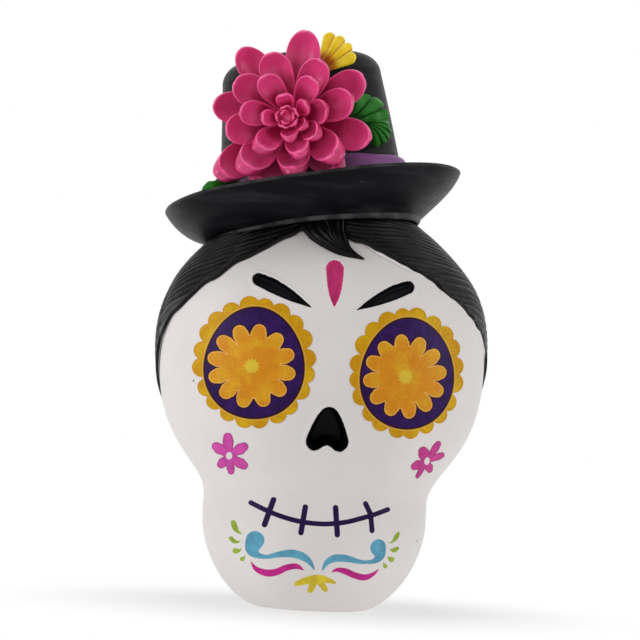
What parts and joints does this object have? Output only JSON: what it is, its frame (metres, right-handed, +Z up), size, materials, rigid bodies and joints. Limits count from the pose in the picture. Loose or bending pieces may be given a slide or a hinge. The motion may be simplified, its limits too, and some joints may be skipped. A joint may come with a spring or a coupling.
{
  "type": "sugar skull figurine",
  "caption": "White skull figurine with a flower-painted face, combed black hair and a tilted black top hat that carries a big pink flower; it stands on a flat base.",
  "frame": {"origin": "centre of the flat face that the skull stands on", "axes": "+Z up, the face looks along -Y, +X is the viewer's right"},
  "size_m": [0.1162, 0.1053, 0.1985],
  "materials": {
    "bone_paint": "warm white paint, satin",
    "hair_paint": "black paint, satin, brushed over carved strands",
    "hat_paint": "black paint, satin",
    "band_paint": "dull purple paint",
    "petal_paint": "pink paint, satin, paler on the rims",
    "marigold_paint": "yellow paint with red specks",
    "leaf_paint": "leaf green paint, darker in the veins",
    "eye_print": "printed film in marigold, purple and orange",
    "cheek_print": "printed film in orchid",
    "mouth_print": "clear film printed in violet, blue, magenta, yellow and green"
  },
  "bodies": {
    "root": {"skull": "bone_paint", "hair_cap": "hair_paint", "forelock": "hair_paint", "hat": "hat_paint", "hat_band": "band_paint", "dahlia_core": "petal_paint", "petal_outer_1": "petal_paint", "petal_outer_2": "petal_paint", "petal_outer_3": "petal_paint", "petal_outer_4": "petal_paint", "petal_outer_5": "petal_paint", "petal_outer_6": "petal_paint", "petal_outer_7": "petal_paint", "petal_outer_8": "petal_paint", "petal_second_1": "petal_paint", "petal_second_2": "petal_paint", "petal_second_3": "petal_paint", "petal_second_4": "petal_paint", "petal_second_5": "petal_paint", "petal_second_6": "petal_paint", "petal_second_7": "petal_paint", "petal_second_8": "petal_paint", "petal_third_1": "petal_paint", "petal_third_2": "petal_paint", "petal_third_3": "petal_paint", "petal_third_4": "petal_paint", "petal_third_5": "petal_paint", "petal_third_6": "petal_paint", "petal_third_7": "petal_paint", "petal_inner_1": "petal_paint", "petal_inner_2": "petal_paint", "petal_inner_3": "petal_paint", "petal_inner_4": "petal_paint", "petal_inner_5": "petal_paint", "dahlia_bud": "petal_paint", "marigold": "marigold_paint", "leaf_upper": "leaf_paint", "leaf_side": "leaf_paint", "leaf_lower": "leaf_paint", "eye_decal_left": "eye_print", "eye_decal_right": "eye_print", "cheek_decal_left": "cheek_print", "cheek_decal_right": "cheek_print", "mouth_decal": "mouth_print"}
  },
  "joints": []
}
